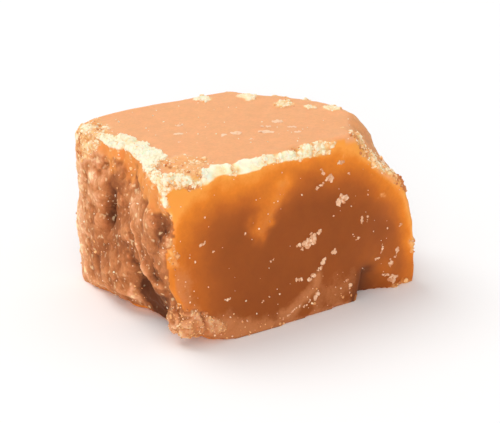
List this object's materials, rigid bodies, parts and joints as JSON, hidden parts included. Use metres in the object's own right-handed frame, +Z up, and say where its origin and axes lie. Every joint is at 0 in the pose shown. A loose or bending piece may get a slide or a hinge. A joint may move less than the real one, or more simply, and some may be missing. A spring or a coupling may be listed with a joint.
{
  "type": "jaggery block",
  "caption": "Small hand-cut block of jaggery with flat cut sides, one rough snapped end, chipped crumbly edges and a flat base to rest on.",
  "frame": {"origin": "middle of the block's bounding box, on the plane it rests on", "axes": "+X along the block towards its smooth right end, -Y the smooth front, -X the rough snapped end, +Z up"},
  "size_m": [0.0356, 0.0256, 0.0209],
  "materials": {
    "jaggery": "waxy, semi-matt caramel sugar with pale crumbly edges"
  },
  "bodies": {
    "root": {"jaggery_block": "jaggery"}
  },
  "joints": []
}
